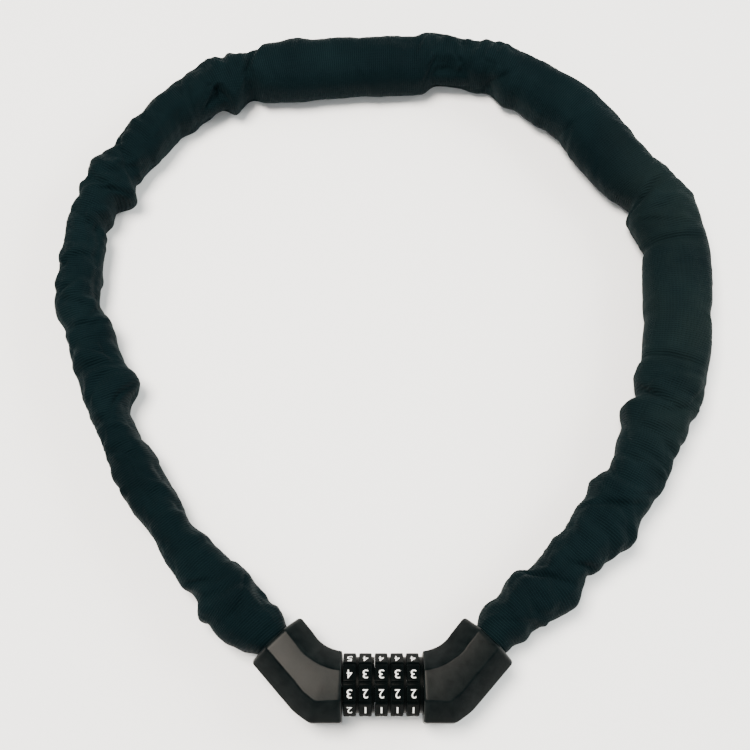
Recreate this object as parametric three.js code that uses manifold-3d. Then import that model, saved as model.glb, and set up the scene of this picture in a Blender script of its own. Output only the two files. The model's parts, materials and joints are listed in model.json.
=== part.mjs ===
// Chain lock: two elbow housings joined by a barrel with five code dials, and a loop of square steel links
// in a woven sleeve. Millimetres, +Z up. The origin is on the ground, at the middle of the footprint.
// The lock's axis runs along X. The barrel is fixed in the housing at +X, and the locking pin in the other.
import * as THREE from "three";
import { mergeVertices } from "three/addons/utils/BufferGeometryUtils.js";
import Module from "manifold-3d";

const wasm = await Module();
wasm.setup();

// ---- driving dimensions ----
const gap = 0.3; // between pieces that touch
const lock_x = 1.2; // middle of the dial stack
const lock_y = -153.1; // the dials' axis
const axis_z = 14; // height of the lock's and the chain's axis

// dials and code rings
const dial_count = 5;
const dial_pitch = 6.5;
const dial_flats = 10;
const dial_across = 25; // over two opposite flats
const dial_land = 4.9; // width of the band that carries the digits
const dial_width = 6.2;
const dial_collar_radius = 11.3;
const dial_bore_radius = 10.6;
const code_ring_radius = 10.2;
const code_ring_width = 3.4;
const code_notch_radius = 9.4;
const code_notch_width = 3.4;
const dial_edge_height = 0.5; // chamfers along the band
const dial_edge_width = 0.4;

// barrel
const tube_radius = 7;
const tube_bore_radius = 3.6;
const tube_end_left = -21.7;
const tube_end_right = 26;
const tube_end_wall = 3; // behind the pin's bore
const tube_slot_width = 3;
const tube_slot_end = 18.4;
const groove_half_length = 17; // under the barrel, for the detent spring
const groove_half_width = 2;
const groove_top = -5.2;
const barrel_pin_x = 24.3; // cross pin that holds the barrel in its housing
const barrel_pin_half = 9.5;

// locking pin
const pin_radius = 2.6;
const pin_root = -31;
const pin_tip = 19;
const tooth_radius = 9;
const tooth_width = 2.4;
const tooth_thickness = 2;
const bolt_pin_x = -28.4; // cross pin that holds the locking pin in its housing
const bolt_pin_half = 6.7;
const bolt_pin_radius = 1;

// nose that turns to set a new code
const nose_radius = 9.2;
const nose_step_radius = 8.2;
const nose_right = -16.5;
const nose_step = -20.6;
const nose_left = -24.3;
const nose_edge = 0.8;
const nose_pocket_radius = 8.1; // inside, for the clip
const clip_left = -19.3;
const clip_right = -18.5;
const clip_inner_radius = 6.4;
const clip_outer_radius = 7.8;
const clip_opening = 4.4;
const clip_play = 0.4; // along the barrel

// elbow housings
const face_x = 16.7; // dial-side faces
const bend_angle = THREE.MathUtils.degToRad(47);
const mouth_x = 44.5;
const mouth_y = 18;
const mouth_half = 13.6; // half the width at the mouth
const inner_side = 13.1; // the side towards the loop, at the dial face
const outer_side = -15.4; // the side away from the loop
const housing_half = 14; // half the height
const wall = 2.2;
const end_wall = 1.8;
const core_recess = 2; // the core ends this far inside the mouth
const socket_radius = 9.6;
const socket_depth = 8.4; // from the dial-side face
const spring_pocket = 6;
const elbow_inner_bend = [28.6, 20.2]; // where the curve on the loop's side ends
const elbow_inner_pull = [25, 14.3]; // what that curve leans towards
const elbow_heel = [30, -15.4]; // on the outside, where the elbow starts to turn
const elbow_cheek = [36.6, -10.8]; // and where it runs straight to the mouth

// chain
const link_count = 29;
const link_length = 40;
const link_width = 17;
const link_bar = 4.5; // side of the square section
const link_corner = 7;
const window_corner = 2;
const anchor_depth = 8.5; // anchor pin, inside the mouth
const anchor_radius = 3;
const anchor_play = 0.5; // between the anchor pin and the end of a link's window
const anchor_length = 20;
// from the mouth to the middle of the first or last link, which goes round the anchor pin
const end_link_reach = link_length / 2 - link_bar - anchor_radius - anchor_play - anchor_depth;
const slot_width = 8;
const slot_height = 26;
const slot_depth = 19;

// sleeve
const sleeve_half_width = 13.5;
const sleeve_half_height = 14;
const sleeve_wall = 1.3;
const sleeve_sides = 12;
const sleeve_steps = 58;
const sleeve_gap = 0.6; // between the sleeve's ends and the housings' mouths

// small parts
const cross_pin_radius = 1.2;
const screw_shank_radius = 1.4;
const screw_head_radius = 2.4;
const screw_sink = 0.2; // the heads lie this far below the face
const screw_head_height = 1.2;
const screw_hole_depth = 6.7;
const screw_places = [
  [26.5, 4.2],
  [29.5, -3.5],
];
const round = 32; // sides of a turned part

// The chain's way round the loop, from the +X housing's mouth to the other's.
const loop_points = [
  [58.3, -121.6],
  [74, -110],
  [88.3, -96.3],
  [101.3, -81.2],
  [112.6, -64.6],
  [122.4, -47],
  [130.7, -28],
  [137.3, -8],
  [141, 13],
  [142.2, 34.5],
  [140.5, 56],
  [134, 76.5],
  [123.2, 95],
  [110.3, 111.8],
  [95, 127.3],
  [76.8, 140.6],
  [57, 150.3],
  [34, 155],
  [9.5, 155.6],
  [-15.5, 154.9],
  [-40.2, 152.4],
  [-64.8, 147],
  [-87.3, 137],
  [-106.2, 122.2],
  [-121.3, 103.5],
  [-133, 82.3],
  [-140.8, 59],
  [-142.8, 35],
  [-139.3, 12.4],
  [-131.9, -10.4],
  [-122.6, -33],
  [-111.3, -54.8],
  [-98.7, -75.5],
  [-84.9, -94.2],
  [-70, -110],
  [-55.9, -121.6],
];

// ---- materials ----
function finish(color, roughness, metalness) {
  return new THREE.MeshStandardMaterial({ color, roughness, metalness });
}
const plastic = finish(0x1b1e1f, 0.45, 0);
const dial_plastic = finish(0x0c0f10, 0.4, 0);
const fabric = finish(0x0e2024, 0.9, 0);
const steel = finish(0xa9adb0, 0.35, 1);
const zinc = finish(0x8f9497, 0.5, 1);
const brass = finish(0xb79a52, 0.35, 1);
const spring_steel = finish(0x777c80, 0.3, 1);

// ---- solids ----
// A closed geometry as a solid that can be cut and joined.
function solid(geometry) {
  const bare = geometry.clone();
  bare.deleteAttribute("normal");
  bare.deleteAttribute("uv");
  const merged = mergeVertices(bare, 1e-4);
  const corners = merged.index.array;
  const kept = [];
  for (let i = 0; i < corners.length; i += 3) {
    const [a, b, c] = [corners[i], corners[i + 1], corners[i + 2]];
    if (a !== b && b !== c && c !== a) kept.push(a, b, c);
  }
  return new wasm.Manifold(
    new wasm.Mesh({
      numProp: 3,
      vertProperties: new Float32Array(merged.attributes.position.array),
      triVerts: new Uint32Array(kept),
    }),
  );
}

// The solid's faces as a geometry.
function shape_of(body) {
  const mesh = body.getMesh();
  const geometry = new THREE.BufferGeometry();
  geometry.setAttribute("position", new THREE.BufferAttribute(mesh.vertProperties, 3));
  geometry.setIndex(new THREE.BufferAttribute(mesh.triVerts, 1));
  geometry.computeVertexNormals();
  return geometry;
}

function joined(first, ...others) {
  return others.reduce((body, other) => body.add(other), first);
}

function cut(first, ...others) {
  return others.reduce((body, other) => body.subtract(other), first);
}

// A box between two corners.
function block(low, high) {
  const size = high.map((value, i) => value - low[i]);
  const box = new THREE.BoxGeometry(...size);
  box.translate(...low.map((value, i) => value + size[i] / 2));
  return solid(box);
}

// A round bar along X.
function bar(radius, from, to, sides = round) {
  const geometry = new THREE.CylinderGeometry(radius, radius, to - from, sides);
  geometry.rotateZ(-Math.PI / 2);
  geometry.translate((from + to) / 2, 0, 0);
  return solid(geometry);
}

// A round bar along Z at a place in plan.
function post(radius, x, y, from, to, sides = 16) {
  const geometry = new THREE.CylinderGeometry(radius, radius, to - from, sides);
  geometry.rotateX(Math.PI / 2);
  geometry.translate(x, y, (from + to) / 2);
  return solid(geometry);
}

// A turned part about X. Its profile's [x, radius] points run towards +X and start and end on the axis.
function turned(profile, sides = round) {
  const points = profile.map(([x, radius]) => new THREE.Vector2(radius, x));
  const geometry = new THREE.LatheGeometry(points, sides);
  geometry.rotateZ(-Math.PI / 2);
  return solid(geometry);
}

// ---- the mouths, in the lock's own frame ----
// side is +1 for the housing with the barrel and -1 for the housing with the locking pin.
function mouth(side) {
  return new THREE.Vector3(side * mouth_x, mouth_y, 0);
}

function mouth_direction(side) {
  return new THREE.Vector3(side * Math.cos(bend_angle), Math.sin(bend_angle), 0);
}

// A geometry made along +X from the origin, moved to the mouth and turned to point out of it.
function at_mouth(geometry, side) {
  const direction = mouth_direction(side);
  geometry.rotateZ(Math.atan2(direction.y, direction.x));
  geometry.translate(side * mouth_x, mouth_y, 0);
  return geometry;
}

function box_at_mouth(side, from, to, width, height) {
  const box = new THREE.BoxGeometry(to - from, width, height);
  box.translate((from + to) / 2, 0, 0);
  return solid(at_mouth(box, side));
}

// ---- elbow housings ----
// The elbow in plan, drawn longer than it is past both ends, which are then cut square.
function elbow_outline(side) {
  const along = [Math.cos(bend_angle), Math.sin(bend_angle)];
  const beyond = 16;
  const inner_corner = [mouth_x - mouth_half * along[1], mouth_y + mouth_half * along[0]];
  const outer_corner = [mouth_x + mouth_half * along[1], mouth_y - mouth_half * along[0]];
  const outline = new THREE.Shape();
  const slope = (elbow_inner_pull[1] - inner_side) / (elbow_inner_pull[0] - face_x);
  outline.moveTo(side * (face_x - beyond), inner_side - beyond * slope);
  outline.lineTo(side * face_x, inner_side);
  outline.quadraticCurveTo(
    side * elbow_inner_pull[0],
    elbow_inner_pull[1],
    side * elbow_inner_bend[0],
    elbow_inner_bend[1],
  );
  outline.lineTo(side * inner_corner[0], inner_corner[1]);
  outline.lineTo(
    side * (inner_corner[0] + beyond * along[0]),
    inner_corner[1] + beyond * along[1],
  );
  outline.lineTo(
    side * (outer_corner[0] + beyond * along[0]),
    outer_corner[1] + beyond * along[1],
  );
  outline.lineTo(side * outer_corner[0], outer_corner[1]);
  outline.lineTo(side * elbow_cheek[0], elbow_cheek[1]);
  outline.lineTo(side * elbow_heel[0], elbow_heel[1]);
  outline.lineTo(side * (face_x - beyond), outer_side);
  outline.closePath();
  return outline;
}

// The elbow with eight-sided sections, drawn in from its outer faces by inset.
function elbow(side, inset) {
  const half = housing_half - inset;
  const flat = 2 * half * Math.tan(Math.PI / 8);
  const bevel = half - flat / 2;
  const geometry = new THREE.ExtrudeGeometry(elbow_outline(side), {
    depth: flat,
    curveSegments: 5,
    bevelThickness: bevel,
    bevelSize: bevel,
    bevelOffset: -bevel - inset,
    bevelSegments: 1,
  });
  geometry.translate(0, 0, -flat / 2);
  return solid(geometry);
}

// Everything beyond two planes: one square to the barrel and one square to the mouth.
function ends(side, from_face, from_mouth) {
  const far = 60;
  const face = side * (face_x + from_face);
  const low = side > 0 ? face - far : face;
  return joined(
    block([low, -far, -far], [low + far, far, far]),
    box_at_mouth(side, -from_mouth, far, far, far),
  );
}

// Countersinks and holes for the two screws, whose heads are on the underside.
function screw_cuts(side) {
  const face = -housing_half;
  const seat = face + screw_sink + screw_head_height + gap;
  return screw_places.map(([x, y]) =>
    joined(
      post(screw_head_radius + gap, side * x, y, face - 1, seat),
      post(screw_shank_radius + gap, side * x, y, face, face + screw_hole_depth),
    ),
  );
}

// The hollow elbow: a wall all round, and an end wall that the barrel or the nose passes through.
function casing(side) {
  const hollow = cut(elbow(side, wall), ends(side, end_wall, -wall));
  const opening_end = face_x + end_wall + 1;
  return cut(
    elbow(side, 0),
    ends(side, 0, 0),
    hollow,
    bar(socket_radius + gap, side > 0 ? 0 : -opening_end, side > 0 ? opening_end : 0),
    ...screw_cuts(side),
  );
}

function shell(side, upper) {
  const far = 80;
  const split = gap / 2;
  const half_space = upper
    ? block([-far, -far, split], [far, far, far])
    : block([-far, -far, -far], [far, far, -split]);
  return casing(side).intersect(half_space);
}

// The metal core that fills the housing and holds the chain's end and the lock.
function core(side) {
  const anchor = new THREE.CylinderGeometry(
    anchor_radius + gap,
    anchor_radius + gap,
    4 * housing_half,
    24,
  );
  anchor.translate(-anchor_depth, 0, 0);
  const body = cut(
    elbow(side, wall + gap),
    ends(side, end_wall + gap, core_recess),
    box_at_mouth(side, -slot_depth, 10, slot_width, slot_height),
    solid(at_mouth(anchor, side)),
    ...screw_cuts(side),
  );
  return side > 0 ? cut(body, ...barrel_room()) : cut(body, ...pin_room());
}

function barrel_room() {
  return [
    bar(tube_radius + gap, 0, tube_end_right + gap),
    bar(socket_radius, 0, face_x + spring_pocket),
    post(cross_pin_radius + gap, barrel_pin_x, 0, -barrel_pin_half - gap, barrel_pin_half + gap),
  ];
}

function pin_room() {
  return [
    bar(pin_radius + gap, pin_root - gap, 0),
    bar(socket_radius, -face_x - socket_depth, 0),
    post(bolt_pin_radius + gap, bolt_pin_x, 0, -bolt_pin_half - gap, bolt_pin_half + gap),
  ];
}

function screw(side, [x, y]) {
  const bottom = -housing_half + screw_sink;
  const head_top = bottom + screw_head_height;
  const shank_top = -housing_half + screw_hole_depth - gap;
  return joined(
    post(screw_head_radius, side * x, y, bottom, head_top),
    post(screw_shank_radius, side * x, y, head_top - 0.2, shank_top),
  );
}

// ---- barrel ----
function barrel_tube() {
  const half_slot = tube_slot_width / 2;
  return cut(
    bar(tube_radius, tube_end_left, tube_end_right),
    bar(tube_bore_radius, tube_end_left - 1, tube_end_right - tube_end_wall),
    block([tube_end_left - 1, -half_slot, 0], [tube_slot_end, half_slot, tube_radius + 1]),
    block(
      [-groove_half_length, -groove_half_width, -tube_radius - 1],
      [groove_half_length, groove_half_width, groove_top],
    ),
    ring(clip_inner_radius - gap, tube_radius + 1, clip_left - clip_play, clip_right + clip_play),
    post(cross_pin_radius + gap, barrel_pin_x, 0, -tube_radius - 1, tube_radius + 1),
  );
}

// A plain ring about X.
function ring(inner, outer, from, to) {
  return cut(bar(outer, from, to), bar(inner, from - 1, to + 1));
}

// The clip that keeps the nose on the tube, open at the top where the pin's teeth pass.
function nose_clip() {
  const half = clip_opening / 2;
  return cut(
    ring(clip_inner_radius, clip_outer_radius, clip_left, clip_right),
    block([clip_left - 1, -half, 0], [clip_right + 1, half, clip_outer_radius + 1]),
  );
}

function reset_nose() {
  const outside = turned([
    [nose_left, 0],
    [nose_left, nose_step_radius - nose_edge],
    [nose_left + nose_edge, nose_step_radius],
    [nose_step, nose_step_radius],
    [nose_step, nose_radius],
    [nose_right, nose_radius],
    [nose_right, 0],
  ]);
  return cut(
    outside,
    bar(tube_radius + gap, tube_end_left - gap, 0),
    bar(nose_pocket_radius, clip_left - gap, clip_right + gap),
    bar(tube_bore_radius, nose_left - 1, 0),
    block(
      [nose_left - 1, -tube_slot_width / 2, 0],
      [0, tube_slot_width / 2, nose_radius + 1],
    ),
  );
}

function dial_middle(index) {
  return (index - (dial_count - 1) / 2) * dial_pitch;
}

// Ten flats with the edges of the band turned down to a collar on the side of the next dial.
function dial_ring(index) {
  const x = dial_middle(index);
  const corner = 1 / Math.cos(Math.PI / dial_flats);
  const land = (dial_across / 2) * corner;
  const collar = dial_collar_radius * corner;
  const start = x - dial_width / 2;
  const land_end = start + dial_edge_width + dial_land;
  const body = turned(
    [
      [start, 0],
      [start, land - dial_edge_height],
      [start + dial_edge_width, land],
      [land_end - dial_edge_width, land],
      [land_end, land - dial_edge_height],
      [land_end, collar],
      [x + dial_width / 2, collar],
      [x + dial_width / 2, 0],
    ],
    dial_flats,
  );
  return cut(body, bar(dial_bore_radius, start - 1, start + dial_width + 1, 40));
}

// The ring inside a dial: its notch lets one tooth of the pin past at the right digit.
function code_ring(index) {
  const x = dial_middle(index);
  const half = code_ring_width / 2;
  return cut(
    bar(code_ring_radius, x - half, x + half, 40),
    bar(tube_radius + gap, x - half - 1, x + half + 1),
    block(
      [x - half - 1, -code_notch_width / 2, 0],
      [x + half + 1, code_notch_width / 2, code_notch_radius],
    ),
  );
}

// A strip in the groove under the barrel, bowed up towards each code ring.
function detent_spring() {
  const thickness = 0.5;
  const width = 3;
  const floor = -6.6;
  const bow = 0.5;
  const outline = new THREE.Shape();
  const start = dial_middle(0) - dial_pitch / 2;
  const end = dial_middle(dial_count - 1) + dial_pitch / 2;
  const steps = 8 * dial_count;
  const heights = [];
  for (let i = 0; i <= steps; i++) {
    const x = start + ((end - start) * i) / steps;
    const wave = (1 - Math.cos((2 * Math.PI * (x - start)) / dial_pitch)) / 2;
    heights.push([x, floor + (1 - wave) * bow]);
  }
  heights.forEach(([x, z], i) => (i ? outline.lineTo(x, z) : outline.moveTo(x, z)));
  heights.reverse().forEach(([x, z]) => outline.lineTo(x, z + thickness));
  outline.closePath();
  const strip = new THREE.ExtrudeGeometry(outline, { depth: width, bevelEnabled: false });
  strip.rotateX(Math.PI / 2);
  strip.translate(0, width / 2, 0);
  return solid(strip);
}

class Helix extends THREE.Curve {
  constructor(radius, start, pitch, turns) {
    super();
    Object.assign(this, { radius, start, pitch, turns });
  }
  getPoint(t, target = new THREE.Vector3()) {
    const angle = 2 * Math.PI * this.turns * t;
    return target.set(
      this.start + this.pitch * this.turns * t,
      this.radius * Math.cos(angle),
      this.radius * Math.sin(angle),
    );
  }
}

// The coil spring behind the dials, which presses the code rings back after the code is set.
function clutch_spring() {
  const wire_radius = 0.45;
  const coil_radius = 8.4;
  const coil_pitch = 1.2;
  const turns = 3;
  const wire = new THREE.Shape();
  wire.absarc(0, 0, wire_radius, 0, 2 * Math.PI);
  const path = new Helix(coil_radius, face_x + 1.6, coil_pitch, turns);
  const coil = new THREE.ExtrudeGeometry(wire, {
    steps: 14 * turns,
    curveSegments: 3,
    bevelEnabled: false,
    extrudePath: path,
  });
  return solid(coil);
}

function barrel_cross_pin() {
  return post(cross_pin_radius, barrel_pin_x, 0, -barrel_pin_half, barrel_pin_half);
}

// ---- locking pin ----
function locking_pin() {
  const tip_edge = 1.2;
  const rod = turned(
    [
      [pin_root, 0],
      [pin_root, pin_radius],
      [pin_tip - tip_edge, pin_radius],
      [pin_tip, pin_radius - tip_edge],
      [pin_tip, 0],
    ],
    24,
  );
  const teeth = [];
  for (let i = 0; i < dial_count; i++) {
    const x = dial_middle(i) + dial_pitch / 2;
    teeth.push(
      block(
        [x - tooth_thickness / 2, -tooth_width / 2, 0.5],
        [x + tooth_thickness / 2, tooth_width / 2, tooth_radius],
      ),
    );
  }
  const hole = post(bolt_pin_radius + gap, bolt_pin_x, 0, -pin_radius - 1, pin_radius + 1);
  return cut(joined(rod, ...teeth), hole);
}

function bolt_cross_pin() {
  return post(bolt_pin_radius, bolt_pin_x, 0, -bolt_pin_half, bolt_pin_half);
}

// ---- chain ----
function rounded_rectangle(path, half_length, half_width, radius) {
  path.moveTo(half_length - radius, half_width);
  path.absarc(-half_length + radius, half_width - radius, radius, Math.PI / 2, Math.PI);
  path.absarc(-half_length + radius, -half_width + radius, radius, Math.PI, 1.5 * Math.PI);
  path.absarc(half_length - radius, -half_width + radius, radius, 1.5 * Math.PI, 2 * Math.PI);
  path.absarc(half_length - radius, half_width - radius, radius, 0, Math.PI / 2);
  return path;
}

// A link of square bar, flat in the XY plane and long along X.
function link_geometry() {
  const outline = new THREE.Shape();
  rounded_rectangle(outline, link_length / 2, link_width / 2, link_corner);
  const window_half_length = link_length / 2 - link_bar;
  const window_half_width = link_width / 2 - link_bar;
  const window = new THREE.Path();
  outline.holes.push(
    rounded_rectangle(window, window_half_length, window_half_width, window_corner),
  );
  const geometry = new THREE.ExtrudeGeometry(outline, {
    depth: link_bar,
    curveSegments: 1,
    bevelEnabled: false,
  });
  geometry.translate(0, 0, -link_bar / 2);
  return geometry;
}

function world_mouth(side) {
  return mouth(side).add(new THREE.Vector3(lock_x, lock_y, axis_z));
}

function loop_curve() {
  const first = world_mouth(1);
  const last = world_mouth(-1);
  const middle = loop_points.map(([x, y]) => new THREE.Vector3(x, y, axis_z));
  return new THREE.CatmullRomCurve3([first, ...middle, last], false, "centripetal");
}

// The middle and heading of each link: the end links point out of the mouths, and the others lie along
// chords of the loop, evenly spaced.
function link_places(curve) {
  const length = curve.getLength();
  const pitch = (length - 2 * end_link_reach) / (link_count - 1);
  const places = [];
  for (let i = 0; i < link_count; i++) {
    if (i === 0 || i === link_count - 1) {
      const side = i === 0 ? 1 : -1;
      const outwards = mouth_direction(side);
      const middle = world_mouth(side).addScaledVector(outwards, end_link_reach);
      places.push({ middle, heading: Math.atan2(outwards.y, outwards.x) });
    } else {
      const s = end_link_reach + i * pitch;
      const back = curve.getPointAt((s - pitch / 2) / length);
      const front = curve.getPointAt((s + pitch / 2) / length);
      const middle = back.clone().add(front).multiplyScalar(0.5);
      places.push({ middle, heading: Math.atan2(front.y - back.y, front.x - back.x) });
    }
  }
  return places;
}

function anchor_pin_geometry(side) {
  const geometry = new THREE.CylinderGeometry(anchor_radius, anchor_radius, anchor_length, 24);
  geometry.translate(-anchor_depth, 0, 0);
  return at_mouth(geometry, side);
}

// ---- sleeve ----
function sleeve_geometry(curve) {
  const section = new THREE.Shape();
  section.absellipse(0, 0, sleeve_half_height, sleeve_half_width, 0, 2 * Math.PI);
  const inside = new THREE.Path();
  inside.absellipse(
    0,
    0,
    sleeve_half_height - sleeve_wall,
    sleeve_half_width - sleeve_wall,
    0,
    2 * Math.PI,
  );
  section.holes.push(inside);
  const length = curve.getLength();
  const points = [];
  for (let i = 0; i <= sleeve_steps; i++) {
    const s = sleeve_gap + ((length - 2 * sleeve_gap) * i) / sleeve_steps;
    points.push(curve.getPointAt(s / length));
  }
  return new THREE.ExtrudeGeometry(section, {
    steps: sleeve_steps,
    curveSegments: sleeve_sides / 2,
    bevelEnabled: false,
    extrudePath: new THREE.CatmullRomCurve3(points),
  });
}

// ---- assembly ----
const chain_lock = new THREE.Group();
const lock = new THREE.Group();
lock.position.set(lock_x, lock_y, axis_z);
chain_lock.add(lock);

function add(parent, name, geometry, material) {
  const mesh = new THREE.Mesh(geometry, material);
  mesh.name = name;
  parent.add(mesh);
  return mesh;
}

function two_digits(number) {
  return String(number).padStart(2, "0");
}

for (const [side, name] of [
  [1, "barrel"],
  [-1, "bolt"],
]) {
  add(lock, `${name}_housing_front_shell`, shape_of(shell(side, true)), plastic);
  add(lock, `${name}_housing_rear_shell`, shape_of(shell(side, false)), plastic);
  add(lock, `${name}_core`, shape_of(core(side)), zinc);
  add(lock, `${name}_anchor_pin`, anchor_pin_geometry(side), steel);
  screw_places.forEach((place, i) =>
    add(lock, `${name}_shell_screw_${i + 1}`, shape_of(screw(side, place)), steel),
  );
}

add(lock, "barrel_tube", shape_of(barrel_tube()), brass);
add(lock, "barrel_cross_pin", shape_of(barrel_cross_pin()), steel);
add(lock, "detent_spring", shape_of(detent_spring()), spring_steel);
add(lock, "clutch_spring", shape_of(clutch_spring()), spring_steel);
add(lock, "nose_clip", shape_of(nose_clip()), spring_steel);
add(lock, "reset_nose", shape_of(reset_nose()), zinc);
for (let i = 0; i < dial_count; i++) {
  add(lock, `dial_ring_${i + 1}`, shape_of(dial_ring(i)), dial_plastic);
  add(lock, `code_ring_${i + 1}`, shape_of(code_ring(i)), brass);
}
add(lock, "locking_pin", shape_of(locking_pin()), steel);
add(lock, "bolt_cross_pin", shape_of(bolt_cross_pin()), steel);

const loop = loop_curve();
link_places(loop).forEach(({ middle, heading }, i) => {
  const link = add(chain_lock, `chain_link_${two_digits(i + 1)}`, link_geometry(), steel);
  const standing = i % 2 === 0;
  link.position.copy(middle);
  link.rotation.set(standing ? Math.PI / 2 : 0, 0, heading, "ZXY");
});
add(chain_lock, "fabric_sleeve", sleeve_geometry(loop), fabric);

export default chain_lock;
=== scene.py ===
import json
import math

import bmesh
import bpy
import numpy as np
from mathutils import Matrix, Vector
from mathutils.geometry import tessellate_polygon


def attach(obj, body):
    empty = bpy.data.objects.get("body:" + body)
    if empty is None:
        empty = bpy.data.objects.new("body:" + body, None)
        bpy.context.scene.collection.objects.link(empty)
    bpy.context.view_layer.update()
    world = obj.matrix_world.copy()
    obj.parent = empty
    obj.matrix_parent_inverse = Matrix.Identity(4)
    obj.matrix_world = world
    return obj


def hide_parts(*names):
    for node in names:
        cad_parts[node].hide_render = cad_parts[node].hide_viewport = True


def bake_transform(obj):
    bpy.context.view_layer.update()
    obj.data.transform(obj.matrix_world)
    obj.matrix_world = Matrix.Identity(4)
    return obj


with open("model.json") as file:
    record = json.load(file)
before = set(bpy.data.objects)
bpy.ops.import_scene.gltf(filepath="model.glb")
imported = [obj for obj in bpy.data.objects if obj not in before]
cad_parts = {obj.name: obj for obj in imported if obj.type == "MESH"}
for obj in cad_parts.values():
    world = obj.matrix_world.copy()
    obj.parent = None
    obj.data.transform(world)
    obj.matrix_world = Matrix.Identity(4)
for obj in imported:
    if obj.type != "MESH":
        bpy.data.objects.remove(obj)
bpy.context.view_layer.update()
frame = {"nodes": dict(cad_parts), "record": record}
MM = 0.001

# ---- where the lock and the chain lie, in millimetres ----
LOCK = np.array([1.2, -153.1, 14.0])  # middle of the dial stack
AXIS_Z = 14.0
BEND = math.radians(47)
MOUTH = np.array([44.5, 18.0])
LOOP = [
    (58.3, -121.6), (74, -110), (88.3, -96.3), (101.3, -81.2), (112.6, -64.6), (122.4, -47),
    (130.7, -28), (137.3, -8), (141, 13), (142.2, 34.5), (140.5, 56), (134, 76.5),
    (123.2, 95), (110.3, 111.8), (95, 127.3), (76.8, 140.6), (57, 150.3), (34, 155),
    (9.5, 155.6), (-15.5, 154.9), (-40.2, 152.4), (-64.8, 147), (-87.3, 137), (-106.2, 122.2),
    (-121.3, 103.5), (-133, 82.3), (-140.8, 59), (-142.8, 35), (-139.3, 12.4), (-131.9, -10.4),
    (-122.6, -33), (-111.3, -54.8), (-98.7, -75.5), (-84.9, -94.2), (-70, -110), (-55.9, -121.6),
]


# ---- camera ----
def make_camera():
    target = Vector((-0.0019, -0.0106, 0))
    tilt = math.radians(20.3)
    data = bpy.data.cameras.new("camera")
    data.lens = 50.5
    data.sensor_width = 36
    data.clip_start = 0.02
    camera = bpy.data.objects.new("camera", data)
    bpy.context.scene.collection.objects.link(camera)
    camera.location = target + 0.5 * Vector((0, -math.sin(tilt), math.cos(tilt)))
    camera.rotation_euler = (target - camera.location).to_track_quat("-Z", "Y").to_euler()
    bpy.context.scene.camera = camera


make_camera()


# ---- meshes ----
def new_object(name, vertices, faces, smooth_angle=None):
    """An object of a mesh given in millimetres."""
    mesh = bpy.data.meshes.new(name)
    mesh.from_pydata([tuple(v) for v in np.asarray(vertices, float) * MM], [], faces)
    mesh.validate()
    obj = bpy.data.objects.new(name, mesh)
    bpy.context.scene.collection.objects.link(obj)
    if smooth_angle is not None:
        mesh.polygons.foreach_set("use_smooth", [True] * len(mesh.polygons))
        mesh.set_sharp_from_angle(angle=math.radians(smooth_angle))
    return obj


def face_outwards(obj):
    work = bmesh.new()
    work.from_mesh(obj.data)
    bmesh.ops.recalc_face_normals(work, faces=work.faces)
    work.to_mesh(obj.data)
    work.free()


def close_up(obj):
    """Join the vertices that lie on each other, and drop most of the slivers that leaves."""
    work = bmesh.new()
    work.from_mesh(obj.data)
    bmesh.ops.remove_doubles(work, verts=work.verts, dist=2e-6)
    bmesh.ops.dissolve_degenerate(work, edges=work.edges, dist=1e-6)
    bmesh.ops.recalc_face_normals(work, faces=work.faces)
    work.to_mesh(obj.data)
    work.free()


def evaluated_mesh(obj):
    """A new mesh of the object as its modifiers or its text make it."""
    return bpy.data.meshes.new_from_object(obj.evaluated_get(bpy.context.evaluated_depsgraph_get()))


def strips(first, second, closed=True):
    """Quads between two rows of vertex indices."""
    count = len(first)
    last = count if closed else count - 1
    return [(first[i], first[(i + 1) % count], second[(i + 1) % count], second[i]) for i in range(last)]


def attribute(obj, name, values):
    layer = obj.data.attributes.new(name, "FLOAT", "POINT")
    layer.data.foreach_set("value", np.asarray(values, np.float32).ravel())


# ---- the chain's way round the loop ----
def loop_route():
    ends = [LOCK[:2] + MOUTH * (side, 1) for side in (1, -1)]
    points = np.array([ends[0], *LOOP, ends[1]], float)
    route = []
    for i in range(len(points) - 1):
        b, c = points[i], points[i + 1]
        a = points[i - 1] if i else 2 * b - c
        d = points[i + 2] if i + 2 < len(points) else 2 * c - b
        ab, bc, cd = (math.sqrt(np.linalg.norm(q - p)) for p, q in ((a, b), (b, c), (c, d)))
        leave = ((b - a) / ab - (c - a) / (ab + bc) + (c - b) / bc) * bc
        arrive = ((c - b) / bc - (d - b) / (bc + cd) + (d - c) / cd) * bc
        for u in np.arange(40) / 40:
            route.append(
                b + leave * u + (3 * (c - b) - 2 * leave - arrive) * u**2
                + (2 * (b - c) + leave + arrive) * u**3
            )
    route.append(points[-1])
    route = np.array(route)
    distance = np.concatenate([[0], np.cumsum(np.linalg.norm(np.diff(route, axis=0), axis=1))])
    return route, distance


ROUTE, DISTANCE = loop_route()
LENGTH = DISTANCE[-1]


def along(s):
    """Places and headings at distances s along the chain, which may run on past both mouths."""
    inside = np.clip(s, 0, LENGTH)
    place = np.stack([np.interp(inside, DISTANCE, ROUTE[:, k]) for k in (0, 1)], axis=-1)
    ahead, behind = np.clip(inside + 0.6, 0, LENGTH), np.clip(inside - 0.6, 0, LENGTH)
    step = np.stack(
        [np.interp(ahead, DISTANCE, ROUTE[:, k]) - np.interp(behind, DISTANCE, ROUTE[:, k]) for k in (0, 1)],
        axis=-1,
    )
    heading = step / np.linalg.norm(step, axis=-1, keepdims=True)
    return place + heading * (s - inside)[:, None], heading


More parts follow.
